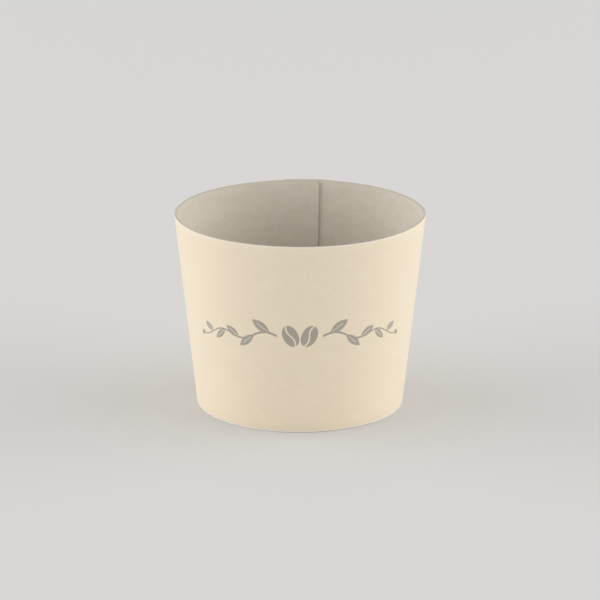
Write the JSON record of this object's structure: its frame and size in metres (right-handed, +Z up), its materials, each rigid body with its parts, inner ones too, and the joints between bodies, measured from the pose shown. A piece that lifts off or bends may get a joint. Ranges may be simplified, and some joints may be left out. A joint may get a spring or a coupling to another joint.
{
  "type": "coffee cup sleeve",
  "caption": "Tapered paperboard sleeve that wraps a hot takeaway cup, with a glued lap down the back and two fold lines.",
  "frame": {"origin": "centre of the bottom rim, on the surface that the sleeve stands on", "axes": "+Z up along the cone's axis towards the wide rim; the plain front faces -Y, the fold lines lie at +X and -X, and the glued lap is at +Y"},
  "size_m": [0.0828, 0.083, 0.065],
  "materials": {
    "board": "matte uncoated cream board"
  },
  "bodies": {
    "root": {"sleeve": "board"}
  },
  "joints": []
}
